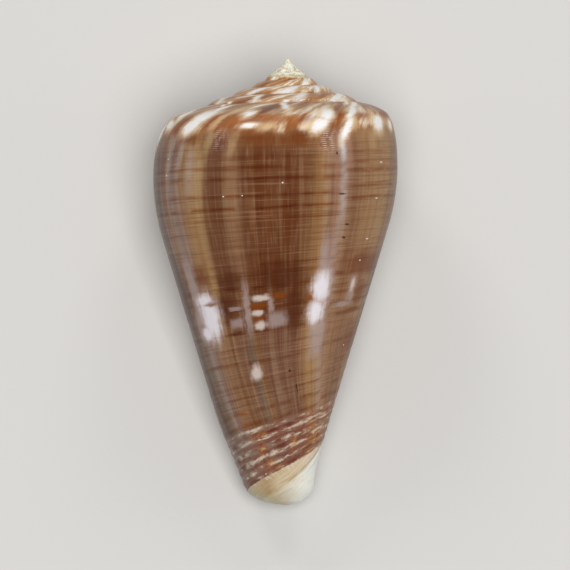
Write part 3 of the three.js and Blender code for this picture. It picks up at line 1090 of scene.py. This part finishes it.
def lay_side(p):
    """Soft columns of mauve, tan and grey below the shoulder."""
    spot = p.spot(0.006, 0.25)
    streak = (p.grain(170, 0.30, 121.0, 3.0, 0.6) - 0.5) * 1.6
    p.stain(spot, SIDE_MAUVE, streak, 0.85, 0.55, "6e4034")
    p.stain(spot, SIDE_TAN, streak, 0.85, 0.46, "b89a6c")
    p.stain(spot, SIDE_GREY, streak, 0.85, 0.45, "b3a398")


def lay_lines(p):
    """Thin dark spiral lines, stepped at the scar and faint where a growth band is pale."""
    drift = p.flecks(11, 0.7, 1.0) - 0.5
    row = p.row + (1 - rise(p.leaned, -0.083, 0.006)) * 0.22 + drift * 0.16
    pale = p.grain(34, 0.2, 8.0, 1.0)
    kept = rise(p.flecks(26, 1.9, 6.0), 0.30, 0.24) * (1 - rise(pale, 0.56, 0.14) * 0.6)
    p.lay(spiral_lines(p, row) * kept * 0.95, "cc9560", "MULTIPLY")


def lay_middle(p):
    """The belt of pale blotches and dark spots below the middle."""
    spot = p.spot(0.010, 0.16)
    streak = (p.grain(150, 0.45, 101.0, 3.0, 0.65) - 0.5) * 1.1
    cloud = p.flecks(30, 2.2, 33.0, 3.0) - 0.5
    p.stain(spot, MIDDLE_DARK, streak + cloud, 0.6, 0.70, "4c210e")
    p.stain(spot, MIDDLE_RUSSET, streak * 1.5 + cloud, 0.8, 0.80, "6e340e")
    p.stain(spot, MIDDLE_LILAC, streak + cloud * 0.6, 0.55, 0.62, "ab9893", square=True)
    white = marks(p, spot, MIDDLE_WHITE) * 0.86 + streak * 0.8 + cloud * 0.6
    p.lay(inside(white, 0.52, 0.72), "cbb8b2")
    p.lay(inside(white + 0.26, 0.42, 0.85), "ece7ec")
    p.stain(spot, MIDDLE_CREAM, streak * 0.8 + cloud, 0.55, 0.78, "d9c8bc")
    p.stain(spot, MIDDLE_ORANGE, streak + cloud * 0.5, 0.6, 0.80, "80400f")


def lay_scar_and_highlight(p):
    """The pale axial line where the lip once broke and healed; its pale core, whitest from row 6.2
    to 9, is partly a painted highlight running down it.
    """
    edge = p.grain(20, 0.8, 31.0, 3.0) - 0.5
    patchy = rise(p.grain(60, 1.1, 35.0, 3.0), 0.30, 0.3) * 0.5 + 0.5
    core = ridge(p.leaned + edge * 0.007, -0.0785, 0.0052) * patchy
    right = ridge(p.leaned + edge * 0.004, -0.0675, 0.0035)
    left = ridge(p.leaned + edge * 0.004, -0.089, 0.004)
    # the pale core is partly the scar's own colour and partly a painted highlight along it
    p.lay(core * band_of(p.row, 9.0, 12.4, 1.6) * 0.55, "bcaea8")
    p.lay(core * band_of(p.row, 12.4, 20.4, 1.2) * 0.30, "b39684")
    p.lay(core * band_of(p.row, 6.2, 9.0, 2.0) * 0.90, "ece6e8")
    p.lay(right * band_of(p.row, 7.0, 14.0, 1.0) * 0.45, "955f48")
    p.lay(left * band_of(p.row, 6.8, 10.0, 1.0) * 0.45, "a87864")


def lay_shoulder(p):
    """Streaked top: flame marks over tan and brown, above a fairly sharp edge."""
    tree = p.tree
    body = p.coat
    spire = rise(p.turn, -0.62, -0.06)
    place = vector(tree, (p.leaned - p.row * 0.012) * 15, p.row * 0.16, 57.0)
    early = noise(tree, place, detail=4.0, roughness=0.6)
    flames = mix(p.grain(26, 0.13, 51.0, 4.0, 0.6), early, spire)
    fine = p.grain(150, 0.20, 55.0)
    cool = p.grain(60, 0.15, 59.0)
    p.coat = ramp(tree, flames * 0.92 + fine * 0.08, SHOULDER_STOPS)
    p.lay(rise(cool, 0.5, 0.16) * 0.35, "9a7a6a")
    p.lay(rise(p.row, 3.6, 1.6) * rise(flames, 0.62, -0.12) * 0.50, "8a481f")
    whorls = ramp(tree, flames, SPIRE_STOPS)
    p.lay(spire, mixed(tree, rise(cool, 0.5, 0.2) * 0.4, whorls, "a8703c"))
    spot = p.spot(0.008, 0.30)
    ragged = (flames - 0.5) * 1.9 + (fine - 0.5) * 0.35
    p.stain(spot, SHOULDER_TAN, ragged * -0.8, 0.8, 0.70, "dcb98c")
    rust = mixed(tree, rise(cool, 0.42, 0.2), "84401a", "a8642e")
    p.stain(spot, SHOULDER_BROWN, ragged * 0.8, 0.8, 0.82, rust)
    edge = (p.grain(60, 0.6, 61.0) - 0.5) * 1.4
    p.coat = mixed(tree, rise(p.row + edge, 7.35, -0.9), body, p.coat)
    beads = rise(p.grain(300, 1.5, 63.0), 0.52, 0.1) * spire * band_of(p.row, 3.2, 3.7, 0.2)
    white = marks(p, spot, SHOULDER_WHITE + SPIRE_WHITE) - ragged - beads
    p.lay(inside(white - 0.22, 0.60, 0.80), "e3c9a4")
    p.lay(inside(white + 0.22, 0.40, 0.97), "f8f5f3")


def lay_striae_highlights(p):
    """Painted highlights: patches of pale dashes on the crests of the fine spiral threads, standing
    in for light reflected off them.
    """
    right = ridge(p.leaned, -0.055, 0.011) * band_of(p.row, 6.7, 8.7, 0.9)
    left = ridge(p.leaned, 0.094, 0.012) * band_of(p.row, 6.6, 8.3, 0.9) * 0.7
    broken = rise(p.grain(170, 1.6, 111.0), 0.42, 0.16)
    striae_highlight = (right + left) * rise(crests(p.row, 0.18, 0.045), 0.35, 0.5) * broken
    # painted highlight on the thread crests to the right and left of the middle
    p.lay(striae_highlight * 0.45, "f2e4dc")


def lay_base(p):
    """Rows of pale and dark dashes on the cords."""
    row = p.row + (p.flecks(14, 1.1, 17.0) - 0.5) * 0.20
    on_base = band_of(row, *CORD_ROWS, 0.35)
    cords = crests(row, CORD_PITCH, CORD_ROW)
    place = vector(p.tree, p.turn * 32 + p.row, p.row * 5.5, 3.0)
    dash = noise(p.tree, place, detail=3.0, roughness=0.6)
    mottled = p.grain(60, 6, 13.0, 3.0, 0.65)
    grey = rise(p.turn, 0.06, 0.10) * 0.5 + rise(p.grain(16, 0.9, 23.0), 0.46, 0.16) * 0.4
    p.lay(on_base * 0.62, mixed(p.tree, rise(p.turn, -0.02, -0.08), "906556", "a4714e"))
    p.lay(on_base * grey, "86786a")
    p.lay(rise(cords, 0.50, -0.4) * on_base * 0.42, "6c3426")
    p.lay(rise(dash, 0.50, -0.10) * rise(mottled, 0.42, 0.14) * on_base * 0.50, "6a2c1a")
    pale = rise(dash, 0.51, 0.12) * rise(cords, 0.35, 0.5) * rise(mottled, 0.36, 0.2)
    p.lay(pale * on_base * 0.80, "d6c4b0")
    spot = p.spot(0.014, 0.16)
    rough = (mottled - 0.5) * 1.6
    orange = inside(marks(p, spot, BASE_ORANGE) + rough * 1.6, 0.8, 0.70)
    golden = mixed(p.tree, rise(dash, 0.46, 0.12), "8f4c1c", "bb8442")
    p.lay(orange * rise(mottled, 0.34, 0.2), golden)
    p.stain(spot, BASE_DARK, rough * 1.2, 0.6, 0.72, "5a2418")
    light = inside(marks(p, spot, BASE_PALE) * 1.1 + rough * 2.4, 0.8, 0.72)
    p.lay(light * (1 - rise(p.turn, 0.10, 0.06) * 0.45), "d8c8b2")


def lay_cream(p):
    """The smooth band round the tip, streaked along its own slope."""
    tree = p.tree
    body = p.coat
    climb = p.row - p.turn * 9.5
    place = vector(tree, p.turn * 9, climb * 3.6, 5.0)
    stripes = noise(tree, place, detail=5.0, roughness=0.72)
    thin = noise(tree, vector(tree, p.turn * 16, climb * 9.0, 25.0))
    broad = noise(tree, vector(tree, p.turn * 9, climb * 0.8, 15.0))
    wander = (broad - 0.5) * 0.6
    upper = turn_ramp(tree, p.turn, CREAM_UPPER)
    lower = turn_ramp(tree, p.turn, CREAM_LOWER)
    p.coat = mixed(tree, rise(climb + wander, 23.65, 0.5), upper, lower)
    p.lay(rise(stripes, 0.50, 0.20) * 0.50, "e6d8c8")
    p.lay(rise(stripes, 0.48, -0.14) * 0.46, "ae9060")
    p.lay(rise(thin, 0.42, -0.08) * (1 - rise(climb, 24.2, 1.2) * 0.7) * 0.42, "9c7440")
    line = ridge(climb + wander * 0.5, 23.80, 0.20)
    p.lay(line * rise(broad, 0.40, 0.2) * rise(p.turn, 0.15, -0.04) * 0.85, "a58c50")
    short = rise(p.grain(90, 0.7, 45.0, 3.0), 0.5, 0.14)
    p.lay(short * rise(p.row, 23.0, -0.7) * 0.45, "e0d2c0")
    wobble = (p.grain(18, 0.5, 41.0) - 0.5) * 0.16
    ragged = (p.grain(110, 3.0, 43.0, 3.0) - 0.5) * 0.24
    p.coat = mixed(tree, rise(p.row + wobble + ragged, 21.98, 0.13), body, p.coat)


def lay_chips(p):
    """Small knocks, dark with dirt or freshly pale."""
    spot = vector(p.tree, p.turn, p.row, 1.0)
    p.stain(spot, DARK_CHIPS, 0.0, 0.4, 0.8, "2a140c")
    p.stain(spot, LIGHT_CHIPS, 0.0, 0.4, 0.85, "efe6dc")


def lay_tip(p):
    """The worn and crusted first whorls; gives where they are and their grain."""
    tree = p.tree
    place = add(tree, "ShaderNodeTexCoord").outputs["Object"]
    reach = Num(vector_sum(tree, "DISTANCE", place, APEX).outputs["Value"]) / MM
    grains = noise(tree, place, scale=2600.0, detail=3.0, roughness=0.65)
    lumps = noise(tree, place, scale=900.0)
    straw = mixed(tree, rise(lumps, 0.40, 0.2), "ece4c8", "fbf7e8")
    straw = mixed(tree, rise(grains, 0.47, -0.08) * 0.60, straw, "85764f")
    # painted shadow: the darker olive ring beyond 3.45 mm from the apex stands partly for shade
    # under the nipple's flared edge
    straw = mixed(tree, rise(reach + lumps, 3.45, 0.3) * 0.55, straw, "a8985c")
    near_tip = rise(reach + lumps * 0.5, 3.80, -0.2)
    p.lay(near_tip, straw)
    return near_tip, grains


def lay_lining(p):
    """The lip's edge, and the pale inside of the aperture."""
    inner = mixed(p.tree, rise(p.turn, 0.30, -0.5) * 0.5, p.shade("lining"), "cdbccb")
    edge = mixed(p.tree, rise(p.grain(90, 0.6, 81.0), 0.3, 0.5), "8a6a4c", "d8c4a6")
    p.lay(rise(p.lining, 0.05, 0.2), edge)
    p.lay(rise(p.lining, 0.6, 0.2), inner)


def bump(p, near_tip, grains):
    """Fine spiral striae and growth lines, and the tip's grain."""
    striae = crests(p.row, 0.098, 0.0245)
    patches = rise(p.grain(24, 0.6, 91.0), 0.45, 0.2)
    height = striae * (patches * 0.5 + 0.20) + p.grain(260, 0.5, 95.0, 3.0) * 0.6
    settings = {"Height": mix(height, grains * 3.0, near_tip), "Strength": 0.55, "Distance": 0.00003}
    return add(p.tree, "ShaderNodeBump", settings).outputs[0]


COATS = (
    lay_body, lay_side, lay_lines, lay_middle, lay_scar_and_highlight, lay_shoulder, lay_striae_highlights, lay_base,
    lay_cream, lay_chips,
)


def shell_material(colours):
    material = bpy.data.materials.new("polished shell")
    material.use_nodes = True
    p = Paint(material.node_tree, colours)
    for lay in COATS:
        lay(p)
    near_tip, grains = lay_tip(p)
    lay_lining(p)
    shader = p.tree.nodes["Principled BSDF"].inputs
    put(shader["Base Color"], p.coat)
    put(shader["Roughness"], mix(mix(0.26, 0.42, p.grain(90, 3.0, 71.0)), 0.62, near_tip))
    put(shader["Specular IOR Level"], 0.18)
    put(shader["Coat Roughness"], 0.12)
    put(shader["Coat Weight"], (1 - near_tip) * 0.05)
    put(shader["Normal"], bump(p, near_tip, grains))
    return material


# ---------------------------------------------------------------- stage


def floor_material(look):
    material = bpy.data.materials.new("pale studio floor")
    material.use_nodes = True
    tree = material.node_tree
    shader = tree.nodes["Principled BSDF"]
    place = add(tree, "ShaderNodeTexCoord").outputs["Object"]
    faint = noise(tree, place, scale=14.0, detail=3.0)
    colour = mixed(tree, faint * 0.10, tuple(look.floor), "b4b1ab")
    put(shader.inputs["Base Color"], colour)
    shader.inputs["Roughness"].default_value = 0.85
    return material


def floor_object(look):
    half = FLOOR_HALF
    mesh = bpy.data.meshes.new("floor")
    corners = [(-half, -half, 0), (half, -half, 0), (half, half, 0), (-half, half, 0)]
    mesh.from_pydata(corners, [], [(0, 1, 2, 3)])
    mesh.materials.append(floor_material(look))
    floor = bpy.data.objects.new("floor", mesh)
    bpy.context.scene.collection.objects.link(floor)
    return floor


def soft_light(name, place, size, strength):
    data = bpy.data.lights.new(name, "AREA")
    data.shape = "RECTANGLE"
    data.size, data.size_y = size
    data.energy = strength
    light = bpy.data.objects.new(name, data)
    light.location = place
    light.rotation_euler = (Vector(LIGHT_AIM) - Vector(place)).to_track_quat("-Z", "Y").to_euler()
    bpy.context.scene.collection.objects.link(light)
    return light


def stage_camera(look):
    """Square to the coiling axis, with the spire towards the top of the picture."""
    down = Vector((0, -math.cos(REST_PITCH), -math.sin(REST_PITCH)))
    back = Vector((0, -math.sin(REST_PITCH), math.cos(REST_PITCH)))
    data = bpy.data.cameras.new("camera")
    data.lens = look.lens
    data.sensor_width = SENSOR_WIDTH
    distance = FRAME_WIDTH * look.lens / data.sensor_width
    camera = bpy.data.objects.new("camera", data)
    aim = Vector(APEX) + down * AIM_DEPTH + Vector((AIM_SIDE, 0, 0))
    camera.location = aim + back * distance
    turn = Matrix((Vector((1, 0, 0)), -down, back)).transposed()
    camera.rotation_euler = turn.to_euler()
    data.clip_start = 0.01
    data.clip_end = 50.0
    bpy.context.scene.collection.objects.link(camera)
    bpy.context.scene.camera = camera


def stage_world(look):
    world = bpy.data.worlds.new("studio")
    world.use_nodes = True
    background = world.node_tree.nodes["Background"]
    background.inputs["Color"].default_value = (0.93, 0.95, 1.0, 1)
    background.inputs["Strength"].default_value = look.sky
    bpy.context.scene.world = world


# ---------------------------------------------------------------- add-on


class CONESHELL_OT_grow_shell(bpy.types.Operator):
    """Grow the shell by its rule and colour it"""

    bl_idname = "cone_shell.grow_shell"
    bl_label = "Grow Shell"

    def execute(self, context):
        scene = context.scene
        material = shell_material(scene.cone_shell_colours)
        mesh = grow_mesh(scene.cone_shell_growth, material)
        if len(mesh.polygons) == 0:
            raise RuntimeError("the growth tree made no faces")
        mesh.name = "cone_shell"
        shell = bpy.data.objects.new("cone_shell", mesh)
        scene.collection.objects.link(shell)
        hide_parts("shell")
        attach(shell, "root")
        return {"FINISHED"}


class CONESHELL_OT_set_stage(bpy.types.Operator):
    """Set the floor, the lights and the camera"""

    bl_idname = "cone_shell.set_stage"
    bl_label = "Set Stage"

    def execute(self, context):
        look = context.scene.cone_shell_stage
        floor_object(look)
        soft_light("key left", (-0.30, 0.55, 0.42), (0.22, 0.22), look.key)
        soft_light("key right", (0.22, 0.58, 0.42), (0.22, 0.22), look.key * 0.8)
        soft_light("left", (-0.60, 0.0, 0.10), (0.10, 0.5), look.rim)
        soft_light("right", (0.60, 0.0, 0.10), (0.10, 0.5), look.rim)
        fill = soft_light("fill", (0.08, -0.24, 0.95), (0.6, 0.6), look.fill)
        fill.visible_glossy = False
        stage_world(look)
        stage_camera(look)
        context.scene.view_settings.view_transform = "Standard"
        return {"FINISHED"}


class CONESHELL_PT_sidebar(bpy.types.Panel):
    """Cone shell tools"""

    bl_label = "Cone Shell"
    bl_idname = "CONESHELL_PT_sidebar"
    bl_space_type = "VIEW_3D"
    bl_region_type = "UI"
    bl_category = "Cone Shell"

    def draw(self, context):
        column = self.layout.column(align=True)
        column.operator(CONESHELL_OT_grow_shell.bl_idname)
        column.operator(CONESHELL_OT_set_stage.bl_idname)


CLASSES = (
    ShellGrowth,
    ShellColours,
    StageLook,
    CONESHELL_OT_grow_shell,
    CONESHELL_OT_set_stage,
    CONESHELL_PT_sidebar,
)


def register():
    for item in CLASSES:
        bpy.utils.register_class(item)
    bpy.types.Scene.cone_shell_growth = PointerProperty(type=ShellGrowth)
    bpy.types.Scene.cone_shell_colours = PointerProperty(type=ShellColours)
    bpy.types.Scene.cone_shell_stage = PointerProperty(type=StageLook)


def unregister():
    del bpy.types.Scene.cone_shell_stage
    del bpy.types.Scene.cone_shell_colours
    del bpy.types.Scene.cone_shell_growth
    for item in reversed(CLASSES):
        bpy.utils.unregister_class(item)


def main():
    register()
    bpy.ops.cone_shell.grow_shell()
    bpy.ops.cone_shell.set_stage()


if __name__ == "__main__":
    main()
